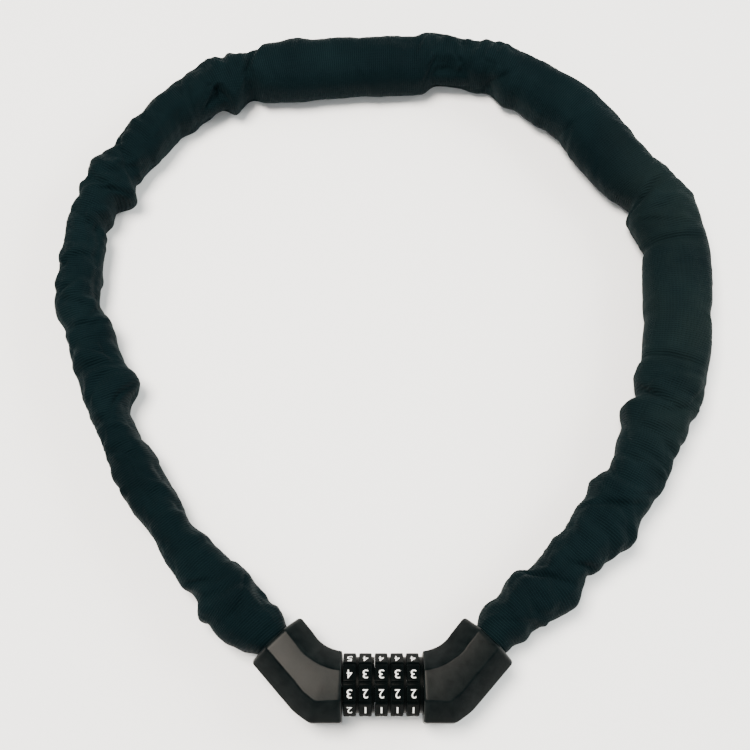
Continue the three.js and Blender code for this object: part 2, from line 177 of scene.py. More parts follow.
# ---- sleeve ----
# Half-widths along the sleeve: distance from the first mouth, towards the loop's inside, towards its outside.
# Most rows were measured by a program and thinned: this is not yet an outline chosen by hand.
SLEEVE_SHAPE = [
    (-1.6, 6.6, 7.4), (0.5, 7.0, 8.8), (3, 8.0, 9.2), (6, 9.6, 9.2), (9.5, 10.2, 11.4), (12, 9.6, 11.6),
    (15.5, 8.2, 11.0), (20, 9.8, 11.8), (24, 12.2, 12.6), (27.5, 12.4, 12.8), (30.5, 9.2, 13.4),
    (33, 7.6, 13.8), (38.5, 9.8, 15.0), (41.5, 10.6, 13.4), (45, 11.2, 10.8), (49.5, 11.6, 8.0),
    (53, 11.4, 10.6), (60, 10.2, 11.0), (65, 12.2, 12.4), (71, 12.6, 14.6), (75, 12.6, 15.4),
    (79, 12.4, 13.2), (83, 14.2, 12.2), (87, 15.2, 12.5), (91, 13.6, 12.8), (95, 10.8, 13.6),
    (100, 11.0, 14.0), (107, 12.2, 13.5), (113, 13.4, 12.4), (118, 13.4, 11.6), (122, 15.4, 13.4),
    (127, 17.2, 13.6), (131, 15.4, 12.6), (136.5, 11.2, 13.8), (140, 14.0, 15.2), (146, 16.3, 15.6),
    (152, 15.8, 15.5), (155, 14.6, 15.0), (160, 15.3, 15.2), (170, 15.8, 15.5), (179, 15.4, 14.4),
    (184, 16.2, 14.4), (188, 16.3, 15.3), (200, 16.0, 16.0), (209, 15.2, 16.8), (215, 14.2, 17.0),
    (218, 12.4, 17.0), (222, 14.2, 16.9), (230, 16.0, 17.3), (239, 16.8, 18.2), (242, 15.4, 16.8),
    (245, 11.2, 15.8), (248, 11.2, 15.2), (254, 13.8, 14.5), (258, 16.2, 13.2), (266, 18.0, 11.6),
    (275, 18.3, 11.9), (284, 18.0, 12.8), (290, 17.2, 14.0), (299, 14.6, 14.5), (304, 12.8, 15.6),
    (314, 12.2, 15.8), (320, 13.6, 15.0), (329, 12.2, 15.8), (335, 10.6, 15.6), (341, 12.3, 15.3),
    (346, 10.6, 15.8), (353, 6.0, 16.3), (358, 8.4, 15.0), (362, 8.9, 14.8), (369, 6.8, 13.6),
    (376, 6.2, 15.2), (383, 7.2, 16.8), (386, 11.0, 17.2), (389, 14.2, 16.8), (394, 14.8, 14.0),
    (401, 15.3, 13.7), (413, 16.0, 13.6), (422, 15.5, 13.2), (434, 16.0, 14.2), (446, 15.8, 14.2),
    (452, 16.3, 16.8), (456, 16.0, 16.4), (462, 15.0, 15.2), (470, 13.2, 14.8), (476, 11.6, 11.8),
    (479.5, 7.0, 10.4), (482.5, 6.8, 11.6), (485.5, 9.4, 14.4), (490.5, 13.0, 15.2), (494, 13.8, 15.4),
    (497, 6.2, 15.8), (501, 6.0, 15.0), (506, 8.8, 13.0), (512, 9.0, 12.8), (519, 10.4, 11.2),
    (527, 8.2, 11.2), (536, 9.8, 10.2), (545, 10.4, 10.8), (552, 9.0, 9.4), (558, 9.2, 9.2),
    (561, 9.6, 11.6), (565.5, 6.4, 13.8), (569, 10.8, 14.0), (573.5, 15.2, 11.2), (577.5, 14.0, 10.8),
    (581, 6.2, 13.2), (584, 6.8, 11.6), (587, 7.8, 9.4), (590, 8.8, 10.8), (594, 5.4, 11.4),
    (602, 5.2, 10.2), (609, 8.4, 8.4), (617, 7.4, 9.3), (623, 9.8, 8.0), (630, 8.6, 10.2),
    (638, 7.4, 11.4), (645, 9.4, 11.0), (653, 12.6, 8.4), (659, 13.2, 7.6), (665, 11.8, 7.8),
    (673, 12.6, 9.6), (677, 13.4, 8.4), (683, 16.6, 8.8), (686.5, 17.2, 9.4), (690, 15.2, 8.8),
    (693.5, 9.8, 7.8), (698, 7.6, 8.8), (707, 7.4, 7.8), (716, 7.5, 9.6), (722, 9.6, 10.2),
    (727, 9.8, 11.3), (733, 8.0, 10.7), (743, 9.4, 10.8), (752, 7.7, 9.0), (764, 7.5, 9.5),
    (770, 9.3, 10.6), (776, 9.6, 12.0), (784, 10.6, 11.2), (787.5, 10.4, 10.8), (791, 10.8, 13.2),
    (794.5, 11.4, 17.2), (799, 11.0, 16.2), (802.5, 9.4, 16.8), (807.5, 7.2, 17.0), (812.5, 7.4, 16.0),
    (816, 9.6, 15.2), (820, 8.6, 13.4), (823, 7.2, 10.8), (825.5, 6.4, 8.8), (827.4, 6.4, 7.6),
]
# How gathered the fabric is: 0 pulled smooth, 1 closely gathered.
GATHER = [
    (0, 0.5), (30, 0.8), (60, 0.7), (110, 0.75), (135, 0.9), (155, 0.35), (170, 0.2), (215, 0.25),
    (240, 0.8), (262, 0.5), (300, 0.35), (335, 0.6), (355, 1.0), (384, 0.9), (396, 0.2), (462, 0.2),
    (476, 1.0), (500, 1.0), (530, 0.65), (560, 1.0), (590, 1.0), (640, 0.85), (690, 1.0),
    (720, 0.65), (770, 0.7), (800, 0.9), (826, 0.5),
]
SECTION_SIDES = 96
RING_SPACING = 0.95
FLOOR_CLEARANCE = 0.35
TUCK = 0.9  # how far the sleeve's ends reach into the mouths
END_HALF = 10.6  # the sleeve's half-height at the mouths
UNDER_HALF = 14.6  # its reach down to the floor away from them
SWELL_RUN = 12  # over which it swells from one to the other
FOLD_RUN = 6  # over which the folds grow from a mouth
SQUARENESS = 0.86  # of the section: 1 is an ellipse
LINK_CLEARANCE = 0.5
CREASE_SHARE = 1.35  # of the depths listed in CREASES
AROUND_RADIUS = 13.5  # for the weave's distance round the sleeve


def curve_through(table, column, s):
    """A table's column at distances s, rounded over at its corners."""
    table = np.array(table)
    dense = np.arange(-12, LENGTH + 12, 0.5)
    values = np.interp(dense, table[:, 0], table[:, column])
    kernel = np.exp(-0.5 * (np.arange(-8, 9) / 2.0) ** 2)
    padded = np.pad(values, 8, mode="edge")
    return np.interp(s, dense, np.convolve(padded, kernel / kernel.sum(), mode="valid"))


def link_envelope(s_rows, angles):
    """The links' reach from the route at each ring and direction, in millimetres."""
    reach = np.zeros((len(s_rows), len(angles)))
    path_s = np.arange(-20, LENGTH + 20, 1.0)
    place, heading = along(path_s)
    for name, node in frame["nodes"].items():
        if not name.startswith("chain_link"):
            continue
        corners = np.array([v.co for v in node.data.vertices]) / MM
        edges = np.array([e.vertices[:] for e in node.data.edges])
        steps = np.linspace(0, 1, 9)[:, None, None]
        samples = (corners[edges[:, 0]] * (1 - steps) + corners[edges[:, 1]] * steps).reshape(-1, 3)
        nearest = np.argmin(((samples[:, None, :2] - place[None]) ** 2).sum(-1), axis=1)
        away = samples[:, :2] - place[nearest]
        side = away[:, 0] * heading[nearest, 1] - away[:, 1] * heading[nearest, 0]
        up = samples[:, 2] - AXIS_Z
        rows = np.clip(np.searchsorted(s_rows, path_s[nearest]), 0, len(s_rows) - 1)
        columns = np.round(np.arctan2(up, side) / (2 * np.pi) * len(angles)).astype(int) % len(angles)
        np.maximum.at(reach, (rows, columns), np.hypot(side, up))
    for _ in range(2):
        reach[1:] = np.maximum(reach[1:], reach[:-1])
        reach[:-1] = np.maximum(reach[:-1], reach[1:])
    for _ in range(2):
        reach = np.maximum(reach, np.maximum(np.roll(reach, 1, 1), np.roll(reach, -1, 1)))
    return reach


def bump(t, soft, steep):
    """A ridge with one long and one steep side, and a crease at the foot of the steep side."""
    ridge = np.where(t < 0, np.exp(-((t / soft) ** 2)), np.exp(-((t / steep) ** 2)))
    return ridge - 0.55 * np.exp(-(((t - 2.1 * steep) / (0.7 * steep)) ** 2))


def sleeve_folds(s, angles):
    """How far the gathered fabric stands in or out, in millimetres, over the rings and directions."""
    random = np.random.default_rng(29)
    S, A = np.meshgrid(s, angles, indexing="ij")
    gather = np.interp(S, *np.array(GATHER).T)
    height = np.zeros_like(S)

    def window(centre, half):
        turn = (A - centre + np.pi) % (2 * np.pi) - np.pi
        return turn, np.cos(np.clip(turn / half, -1, 1) * np.pi / 2) ** 2

    # cross folds, most of them slanting a little
    place = 0.0
    while place < LENGTH:
        level = np.interp(place, *np.array(GATHER).T)
        place += random.uniform(1.2, 4.2) / (0.35 + 0.65 * level)
        centre = random.uniform(-0.2, np.pi + 0.2)
        turn, share = window(centre, random.uniform(0.7, 1.9))
        slant = random.normal(0, 5.0)
        bow = random.normal(0, 1.2)
        width = random.uniform(1.3, 3.0)
        size = random.uniform(0.45, 1.5) * (0.13 + 0.87 * level)
        t = (S - place - slant * turn - bow * turn**2) / width
        if random.random() < 0.5:
            t = -t
        height += size * share * bump(t, random.uniform(1.1, 2.0), random.uniform(0.6, 1.0))
    # lengthwise folds that wander round the sleeve
    for count, size in ((4, 0.28), (7, 0.2), (11, 0.12)):
        drift = np.interp(s, np.linspace(0, LENGTH, 24), random.uniform(-1.6, 1.6, 24))[:, None]
        swell = np.interp(s, np.linspace(0, LENGTH, 40), random.uniform(0.2, 1.0, 40))[:, None]
        height += size * swell * np.sin(count * A + drift * 2.2 + random.uniform(0, 6))
    # soft hollows and swellings
    for _ in range(120):
        turn, share = window(random.uniform(0, 2 * np.pi), random.uniform(0.5, 1.1))
        t = (S - random.uniform(0, LENGTH)) / random.uniform(4, 10)
        height += random.uniform(-0.6, 0.6) * share * np.exp(-(t**2)) * (0.3 + 0.7 * gather)
    # puckers: rounded lobes with sharp valleys between them
    for length, count, size in ((11.0, 5, 2.1), (6.5, 8, 1.1), (3.6, 12, 0.45)):
        height += size * gather**1.3 * (np.sqrt(np.abs(drifting(S, A, length, count, random)) + 0.004) - 0.5)
    return height


def drifting(S, A, length, count, random):
    """Smooth random values between -1 and 1, in cells of a length along and a count around."""
    rows = int(LENGTH / length) + 4
    grid = random.uniform(-1, 1, (rows, count))
    lean = np.interp(S, np.linspace(0, LENGTH, 30), random.uniform(-0.9, 0.9, 30))
    u = (S + 12) / length + lean * np.sin(A)
    v = (A / (2 * np.pi) + 0.07 * np.sin(S / 23)) % 1 * count
    u0, v0 = np.floor(u).astype(int), np.floor(v).astype(int)
    fu, fv = u - u0, v - v0
    fu, fv = fu * fu * (3 - 2 * fu), fv * fv * (3 - 2 * fv)

    def corner(i, j):
        return grid[(u0 + i) % rows, (v0 + j) % count]

    first = corner(0, 0) * (1 - fu) + corner(1, 0) * fu
    second = corner(0, 1) * (1 - fu) + corner(1, 1) * fu
    return first * (1 - fv) + second * fv


# Deep creases: distance along, direction they run through, slant, depth, half-angle that they cover.
CREASES = [
    (33, 120, -8, 2.2, 95), (50, 60, -6, 1.1, 60), (78, 105, -9, 1.7, 80), (94, 150, 6, 1.4, 70),
    (114, 40, 4, 0.9, 60), (136, 130, 3, 2.2, 95), (156, 110, 0, 1.5, 100), (217.5, 110, 0, 1.6, 105),
    (245, 120, -6, 2.4, 100), (262, 30, 6, 0.8, 55), (300, 140, 5, 0.9, 60), (348, 140, 8, 1.6, 80),
    (371, 110, -7, 1.3, 75), (385, 130, 6, 1.7, 80), (479, 95, 5, 2.0, 95), (498, 140, -6, 1.7, 75),
    (513, 60, 6, 1.0, 60), (560, 100, 7, 1.6, 85), (579, 130, -6, 1.6, 75), (598, 90, 5, 1.1, 70),
    (635, 70, -6, 1.1, 70), (671, 120, 7, 1.2, 70), (694, 130, -8, 1.8, 85), (720, 80, 8, 1.0, 65),
    (742, 120, -7, 1.0, 60), (786, 60, 8, 1.5, 80), (803, 110, -7, 1.3, 75),
]


def crease_depth(S, A):
    depth = np.zeros_like(S)
    for place, direction, slant, size, half in CREASES:
        turn = (A - math.radians(direction) + np.pi) % (2 * np.pi) - np.pi
        share = np.cos(np.clip(turn / math.radians(half), -1, 1) * np.pi / 2) ** 2
        t = S - place - slant * turn
        valley = np.exp(-np.abs(t) / 1.1)
        shoulder = 0.4 * np.exp(-(((t - 3.6) / 2.6) ** 2))
        depth += CREASE_SHARE * size * share * (valley - shoulder)
    return depth


def make_sleeve():
    s = np.linspace(-TUCK, LENGTH + TUCK, int((LENGTH + 2 * TUCK) / RING_SPACING))
    angles = np.arange(SECTION_SIDES) * 2 * np.pi / SECTION_SIDES
    inner = curve_through(SLEEVE_SHAPE, 1, s)[:, None]
    outer = curve_through(SLEEVE_SHAPE, 2, s)[:, None]
    from_mouth = np.minimum(s, LENGTH - s)[:, None] + TUCK
    ends = np.clip(from_mouth / SWELL_RUN, 0, 1)
    ends = ends * ends * (3 - 2 * ends)
    wide = (inner + outer) / 2
    top = END_HALF + ends + 0.14 * (wide - 9) + 0.5 * np.sin(s / 9.0)[:, None]
    bottom = END_HALF + (UNDER_HALF - END_HALF) * ends
    c, z = np.cos(angles)[None], np.sin(angles)[None]
    side = np.sign(c) * np.abs(c) ** SQUARENESS * np.where(c > 0, outer, inner)
    up = np.sign(z) * np.abs(z) ** SQUARENESS * np.where(z > 0, top, bottom)
    S, A = np.meshgrid(s, angles, indexing="ij")
    fold = sleeve_folds(s, angles) - crease_depth(S, A)
    # the folds are lower near the mouths, on the underside and at the two sides
    under = np.clip(-(up + 7) / 4, 0, 1)
    fold *= np.clip(from_mouth / FOLD_RUN, 0.15, 1) * (1 - 0.7 * under)
    fold *= 1 - 0.4 * np.abs(np.cos(A)) ** 3
    radius = np.hypot(side, up)
    side, up = side * (1 + fold / radius), up * (1 + fold / radius)
    # keep off the links
    radius, direction = np.hypot(side, up), np.arctan2(up, side)
    reach = link_envelope(s, angles)
    column = np.round(direction / (2 * np.pi) * SECTION_SIDES).astype(int) % SECTION_SIDES
    needed = np.take_along_axis(reach, column, axis=1) + LINK_CLEARANCE
    grow = np.maximum(1, needed / radius)
    for _ in range(3):
        grow[1:-1] = np.maximum(grow[1:-1], (grow[:-2] + grow[2:]) / 2)
        grow = np.maximum(grow, (np.roll(grow, 1, 1) + np.roll(grow, -1, 1)) / 2)
    side, up = side * grow, up * grow
    up = np.maximum(up, FLOOR_CLEARANCE - AXIS_Z)
    place, heading = along(s)
    outwards = np.stack([heading[:, 1], -heading[:, 0]], axis=-1)
    points = np.empty(side.shape + (3,))
    points[..., :2] = place[:, None] + outwards[:, None] * side[..., None]
    points[..., 2] = AXIS_Z + up
    rows, columns = side.shape
    vertices = [points.reshape(-1, 3)]
    index = np.arange(rows * columns).reshape(rows, columns)
    faces = []
    for i in range(rows - 1):
        faces += strips(list(index[i]), list(index[i + 1]))
    # turned-in ends
    count = rows * columns
    for row, inwards in ((0, 1), (rows - 1, -1)):
        centre = np.append(place[row], AXIS_Z)
        push = np.append(heading[row], 0) * inwards
        previous = list(index[row])
        for share, depth in ((0.9, 0.0), (0.86, 1.2)):
            vertices.append(centre + (points[row] - centre) * share + push * depth)
            ring = list(range(count, count + columns))
            faces += strips(previous, ring)
            previous = ring
            count += columns
        vertices.append((centre + push * 1.2)[None])
        faces += [(previous[i], previous[(i + 1) % columns], count) for i in range(columns)]
        count += 1
    sleeve = new_object("woven_sleeve", np.concatenate(vertices), faces, smooth_angle=180)
    face_outwards(sleeve)
    extra = count - rows * columns
    around = A * AROUND_RADIUS
    attribute(sleeve, "along", np.concatenate([S.ravel(), np.zeros(extra)]) * MM)
    attribute(sleeve, "around", np.concatenate([around.ravel(), np.zeros(extra)]) * MM)
    attribute(sleeve, "fold", np.concatenate([fold.ravel(), np.zeros(extra)]))
    return sleeve


# ---- housings, in the lock's own frame ----
FACE_X = 16.7
INNER_SIDE, OUTER_SIDE = 13.1, -15.4
HALF_HEIGHT = 14.0
WALL = 2.0
END_WALL = 1.8
SOCKET = 9.9
EDGE_ROUND = 1.4  # along the edges between the elbow's eight faces
FACE_ROUND = 0.8
MOUTH_ROUND = 1.9
SEAM_GAP = 0.12  # from the seam to each half's edge
SECTION_POINTS = 32  # round a half's section
SHELL_CREASE = 24  # degrees, past which an edge is sharp
HEADING = np.array([math.cos(BEND), math.sin(BEND)])
MOUTH_HALF = 13.6
INNER_CORNER = MOUTH + MOUTH_HALF * np.array([-HEADING[1], HEADING[0]])
OUTER_CORNER = MOUTH - MOUTH_HALF * np.array([-HEADING[1], HEADING[0]])


def softened(points, rounds=3):
    """A line with its corners cut to curves, and its ends where they were."""
    points = np.array(points, float)
    for _ in range(rounds):
        quarter = points[:-1] * 0.75 + points[1:] * 0.25
        three = points[:-1] * 0.25 + points[1:] * 0.75
        middle = np.stack([quarter, three], axis=1).reshape(-1, 2)
        points = np.concatenate([points[:1], middle[1:-1], points[-1:]])
    return points


def elbow_sides():
    t = np.linspace(0, 1, 12)[:, None]
    bend = (
        (1 - t) ** 2 * np.array([FACE_X, INNER_SIDE]) + 2 * t * (1 - t) * np.array([25, 14.3])
        + t**2 * np.array([28.6, 20.2])
    )
    inner = np.concatenate([[(10, 12.3)], bend, [INNER_CORNER, INNER_CORNER + 8 * HEADING]])
    heel, cheek = np.array([30, OUTER_SIDE]), np.array([36.6, -10.8])
    far = OUTER_CORNER + 8 * (OUTER_CORNER - cheek) / np.linalg.norm(OUTER_CORNER - cheek)
    outer = np.concatenate(
        [
            [(10, OUTER_SIDE), heel - (2.4, 0)],
            softened([heel - (2.4, 0), heel, (heel + cheek) / 2], 3)[1:-1],
            softened([(heel + cheek) / 2, cheek, cheek + 0.12 * (far - cheek)], 3),
            [far],
        ]
    )
    return inner, outer


ELBOW_SIDES = elbow_sides()


def reach_of(centre, direction, line):
    """How far a ray from centre runs before it meets the line."""
    best = 1e9
    for a, b in zip(line[:-1], line[1:]):
        edge = b - a
        cross = direction[0] * edge[1] - direction[1] * edge[0]
        if abs(cross) < 1e-9:
            continue
        gap = a - centre
        far = (gap[0] * edge[1] - gap[1] * edge[0]) / cross
        share = (gap[0] * direction[1] - gap[1] * direction[0]) / cross
        if far > 0 and -1e-6 <= share <= 1 + 1e-6:
            best = min(best, far)
    return best


class ElbowWay:
    """The elbow's middle line: an arc from the dial-side face, then straight to the mouth."""

    start = np.array([FACE_X, (INNER_SIDE + OUTER_SIDE) / 2])
    to_corner = MOUTH[0] - (MOUTH[1] - start[1]) / math.tan(BEND) - FACE_X
    radius = to_corner / math.tan(BEND / 2)
    arc = radius * BEND
    straight = (MOUTH[1] - start[1]) / math.sin(BEND) - to_corner
    length = arc + straight

    @classmethod
    def station(cls, p):
        angle = min(p, cls.arc) / cls.radius
        place = cls.start + cls.radius * np.array([math.sin(angle), 1 - math.cos(angle)])
        heading = np.array([math.cos(angle), math.sin(angle)])
        if p > cls.arc:
            place = place + heading * (p - cls.arc)
        inwards = np.array([-heading[1], heading[0]])
        inner = reach_of(place, inwards, ELBOW_SIDES[0])
        outer = reach_of(place, -inwards, ELBOW_SIDES[1])
        return place, inwards, inner, outer


def rounded_line(corners, radii, steps=5):
    """A line through the corners with an arc of the given radius at each one but the ends."""
    corners = np.array(corners, float)
    points = [corners[0]]
    for before, corner, after, radius in zip(corners, corners[1:], corners[2:], radii):
        arrive = (corner - before) / np.linalg.norm(corner - before)
        leave = (after - corner) / np.linalg.norm(after - corner)
        turn = math.acos(np.clip(arrive @ leave, -1, 1))
        run = radius * math.tan(turn / 2)
        for t in np.linspace(0, 1, steps):
            a, b = corner - arrive * run, corner + leave * run
            points.append((1 - t) ** 2 * a + 2 * t * (1 - t) * corner + t**2 * b)
    points.append(corners[-1])
    return np.array(points)


def half_section(inner, outer, inset):
    """The upper half of the elbow's section, as [towards the loop, up], from its outer side to its inner."""
    half = HALF_HEIGHT - inset
    side = half * math.tan(math.pi / 8)
    bevel = half - side
    inner, outer = inner - inset, outer - inset
    corners = [
        (-outer + 0.22, SEAM_GAP), (-outer, SEAM_GAP + 0.25), (-outer, side), (-outer + bevel, half),
        (inner - bevel, half), (inner, side), (inner, SEAM_GAP + 0.25), (inner - 0.22, SEAM_GAP),
    ]
    edge = max(EDGE_ROUND - 0.5 * inset, 0.3)
    return rounded_line(corners, [0.1, edge, edge, edge, edge, 0.1])


def make_shell(name, side, upper, nodes):
    rings = []
    wear = []

    def ring(p, inset, worn=0.0):
        place, inwards, inner, outer = ElbowWay.station(p)
        section = half_section(inner, outer, inset)
        plan = place + inwards * section[:, :1]
        rings.append(np.column_stack([plan, section[:, 1]]))
        corner = np.zeros(len(section))
        corner[6:26] = 1  # the four rounded edges
        wear.append(np.maximum(corner * 0.6, worn) if inset < WALL else np.zeros(len(section)))

    def hole_ring(x, radius):
        angle = np.linspace(-math.pi, 0, SECTION_POINTS)
        up = np.maximum(-np.sin(angle) * radius, SEAM_GAP)
        rings.append(np.column_stack([np.full(SECTION_POINTS, x), np.cos(angle) * radius, up]))
        wear.append(np.zeros(SECTION_POINTS))

    hole_ring(FACE_X + END_WALL, SOCKET)
    hole_ring(FACE_X + 0.3, SOCKET)
    hole_ring(FACE_X, SOCKET + 0.3)
    for t in np.linspace(0, math.pi / 2, 6):
        ring(FACE_ROUND * (1 - math.cos(t)), FACE_ROUND * (1 - math.sin(t)), 1.0)
    for p in np.linspace(FACE_ROUND, ElbowWay.length - MOUTH_ROUND, 44)[1:-1]:
        ring(p, 0.0)
    for t in np.linspace(math.pi / 2, 0, 7):
        ring(ElbowWay.length - MOUTH_ROUND * (1 - math.cos(t)), MOUTH_ROUND * (1 - math.sin(t)), 1.0)
    ring(ElbowWay.length - 0.35, WALL)
    for p in np.linspace(ElbowWay.length - 0.35, END_WALL, 16)[1:]:
        ring(p, WALL)
    rings = np.array(rings)
    count, width = rings.shape[:2]
    index = np.arange(count * width).reshape(count, width)
    faces = []
    for i in range(count):
        faces += strips(list(index[i]), list(index[(i + 1) % count]), closed=False)
    points = rings.reshape(-1, 3)
    # the seam faces, between the outer and the inner wall on each side
    for column in (0, width - 1):
        loop = [int(k) for k in index[:, column]]
        flat = [[Vector((points[k][0], points[k][1], 0)) for k in loop]]
        for triangle in tessellate_polygon(flat):
            faces.append(tuple(loop[k] for k in triangle))
    points = points * (side, 1, 1 if upper else -1) + LOCK
    shell = new_object(name, points, faces, smooth_angle=SHELL_CREASE)
    face_outwards(shell)
    attribute(shell, "wear", np.array(wear))
    if not upper:
        cut_screw_holes(shell, side)
        shell.data.set_sharp_from_angle(angle=math.radians(SHELL_CREASE))
    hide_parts(*nodes)
    return shell


SCREW_PLACES = [(26.5, 4.2), (29.5, -3.5)]
# A countersink and its hole, as [depth, radius].
SCREW_HOLE = [(-1, 0), (-1, 3.1), (0, 3.1), (0.25, 2.75), (1.7, 2.7), (1.7, 1.7), (3.4, 1.7), (3.4, 0)]


def cut_screw_holes(shell, side):
    """Countersinks for the screws on the underside."""
    for x, y in SCREW_PLACES:
        cutter = turned_object("cutter", SCREW_HOLE, 40)
        for vertex in cutter.data.vertices:
            px, py, pz = vertex.co / MM
            vertex.co = Vector((side * x + LOCK[0] + py, y + LOCK[1] + pz, px)) * MM
        face_outwards(cutter)
        modifier = shell.modifiers.new("hole", "BOOLEAN")
        modifier.operation = "DIFFERENCE"
        modifier.solver = "EXACT"
        modifier.object = cutter
        bpy.context.view_layer.update()
        made = evaluated_mesh(shell)
        shell.modifiers.clear()
        shell.data = made
        bpy.data.objects.remove(cutter)


def turned_rings(profile, sides):
    angle = np.arange(sides) * 2 * np.pi / sides
    return [np.column_stack([np.full(sides, x), r * np.cos(angle), r * np.sin(angle)]) for x, r in profile]


def turned_object(name, profile, sides, smooth_angle=30):
    """A turned solid about X from [x, radius] points that start and end on the axis."""
    vertices, faces = [], []
    rings = turned_rings([point for point in profile if point[1] > 0], sides)
    for ring in rings:
        vertices.extend(ring)
    index = np.arange(len(rings) * sides).reshape(len(rings), sides)
    for i in range(len(rings) - 1):
        faces += strips(list(index[i]), list(index[i + 1]))
    faces += [tuple(index[0]), tuple(index[-1])]
    made = new_object(name, vertices, faces, smooth_angle)
    face_outwards(made)
    return made


# ---- dials ----
DIAL_COUNT = 5
DIAL_PITCH = 6.5
DIAL_FLAT = 12.5  # from the axis to a flat
DIAL_WIDTH = 6.4
LAND_WIDTH = 5.3
LAND_SHIFT = 0.45  # from the dial's middle to its flats' middle
COLLAR_RADIUS = 11.3
DIAL_BORE = 10.6
NOTCH_DEPTH = 0.7
LAST_COLLAR = 0.38  # the last dial's collar runs this much nearer to its housing
SHOWN_TOP = [5, 4, 4, 4, 4]  # the digit on the flat that faces the loop and up
DIGIT_HEIGHT = 3.6
DIGIT_WIDTH = 2.15
NARROW_ONE = 0.3  # the 1's share of that width
DIGIT_DROP = 0.5  # from a flat's middle towards the digit's top
FLAT_STEP = math.radians(36)


def land_radius(angle, inset):
    """The decagon's radius with a notch at each corner, at angles from a flat's middle."""
    off = angle % FLAT_STEP - FLAT_STEP / 2
    radius = DIAL_FLAT / np.cos(off)
    arc = (FLAT_STEP / 2 - np.abs(off)) * DIAL_FLAT
    notch = NOTCH_DEPTH * np.clip((0.62 - arc) / 0.34, 0, 1)
    pad = 0.16 * np.clip((0.95 - arc) / 0.35, 0, 1) ** 2
    return radius - inset - np.maximum(notch, pad)


def dial_angles():
    offsets = [18, 17.1, 16.6, 15.6, 15.0, 14.3, 13.4, 11, 6]
    half = np.radians(offsets)
    one = np.concatenate([-half, [0], half[:0:-1]])
    return np.concatenate([one + FLAT_STEP * (k + 0.5) for k in range(10)])


def make_dial(number):
    middle = (number - 3) * DIAL_PITCH
    start = middle - DIAL_WIDTH / 2
    land_end = start + LAND_WIDTH
    end = middle + DIAL_WIDTH / 2 + (LAST_COLLAR if number == DIAL_COUNT else 0)
    angles = dial_angles()

    def circle(radius):
        return np.full(len(angles), radius)

    rows = [
        (start + 0.25, circle(DIAL_BORE)),
        (start, circle(DIAL_BORE + 0.25)),
        (start, land_radius(angles, 0.62)),
        (start + 0.1, land_radius(angles, 0.28)),
        (start + 0.28, land_radius(angles, 0.07)),
        (start + 0.5, land_radius(angles, 0.0)),
        (middle - LAND_SHIFT, land_radius(angles, 0.0)),
        (land_end - 0.5, land_radius(angles, 0.0)),
        (land_end - 0.28, land_radius(angles, 0.07)),
        (land_end - 0.1, land_radius(angles, 0.28)),
        (land_end, land_radius(angles, 0.62)),
        (land_end, circle(COLLAR_RADIUS)),
        (end, circle(COLLAR_RADIUS)),
        (end, circle(DIAL_BORE + 0.25)),
        (end - 0.25, circle(DIAL_BORE)),
    ]
    worn = [0, 0, 0.4, 1, 1, 0.1, 0, 0.1, 1, 1, 0.4, 0, 0, 0, 0]
    vertices, faces = [], []
    for x, radius in rows:
        vertices.extend(np.column_stack([circle(x), radius * np.sin(angles), radius * np.cos(angles)]))
    width = len(angles)
    index = np.arange(len(rows) * width).reshape(len(rows), width)
    for i in range(len(rows)):
        faces += strips(list(index[i]), list(index[(i + 1) % len(rows)]))
    dial = new_object(f"dial_{number}_body", np.array(vertices) + LOCK, faces, smooth_angle=24)
    face_outwards(dial)
    attribute(dial, "wear", np.repeat(worn, width))
    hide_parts(f"dial_ring_{number}")
    return dial


def glyph(digit):
    """A digit's raised shape, DIGIT_WIDTH by DIGIT_HEIGHT for the widest, about its own middle."""
    curve = bpy.data.curves.new("glyph", "FONT")
    curve.body = str(digit)
    curve.offset = -0.002
    curve.extrude = 0.03
    curve.resolution_u = 4
    text = bpy.data.objects.new("glyph", curve)
    bpy.context.scene.collection.objects.link(text)
    bpy.context.view_layer.update()
    mesh = evaluated_mesh(text)
    points = np.array([v.co for v in mesh.vertices])
    faces = [tuple(face.vertices) for face in mesh.polygons]
    bpy.data.objects.remove(text)
    bpy.data.meshes.remove(mesh)
    low, high = points.min(0), points.max(0)
    tall = DIGIT_HEIGHT / (high[1] - low[1])
    wide = DIGIT_WIDTH * (NARROW_ONE if digit == 1 else 1) / (high[0] - low[0])
    points = (points - (low + high) / 2) * (wide, tall, 1)
    return points, faces


GLYPHS = {digit: glyph(digit) for digit in range(10)}


def make_digits(number):
    """The ten digits of a dial, whose tops point away from the loop where they face up."""
    x = LOCK[0] + (number - 3) * DIAL_PITCH - LAND_SHIFT
    vertices, faces = [], []
    for k in range(10):
        points, shape = GLYPHS[(SHOWN_TOP[number - 1] - k) % 10]
        angle = math.radians(54 - 36 * k)
        out = np.array([0, math.sin(angle), math.cos(angle)])
        up = np.array([0, -math.cos(angle), math.sin(angle)])
        right = np.array([-1.0, 0, 0])
        centre = np.array([x, LOCK[1], LOCK[2]]) + out * (DIAL_FLAT + 0.01) + up * DIGIT_DROP
        first = len(vertices)
        vertices.extend(centre + points[:, :1] * right + points[:, 1:2] * up + points[:, 2:] * out)
        faces += [tuple(first + v for v in face) for face in shape]
    digits = new_object(f"dial_{number}_digits", vertices, faces)
    close_up(digits)
    return digits


# ---- nose ----
NOSE_SIDES = 180
NOSE_BORE = 7.2
NOSE_SLOT = 3.0  # the slot's width, at the radius below
NOSE_SLOT_RADIUS = 8.7
RIB_COUNT = 36
RIB_DEPTH = 0.16


def nose_profile():
    """The nose from its dial-side end to its tip and back along its bore, as [x, radius]."""
    corners = [
        (-16.9, 8.3), (-16.9, 9.2), (-20.6, 9.2), (-20.6, 8.2), (-24.3, 8.2), (-24.3, 3.9), (-21, 3.9),
    ]
    return rounded_line(corners, [0.3, 0.35, 0.12, 0.9, 0.3], steps=6)


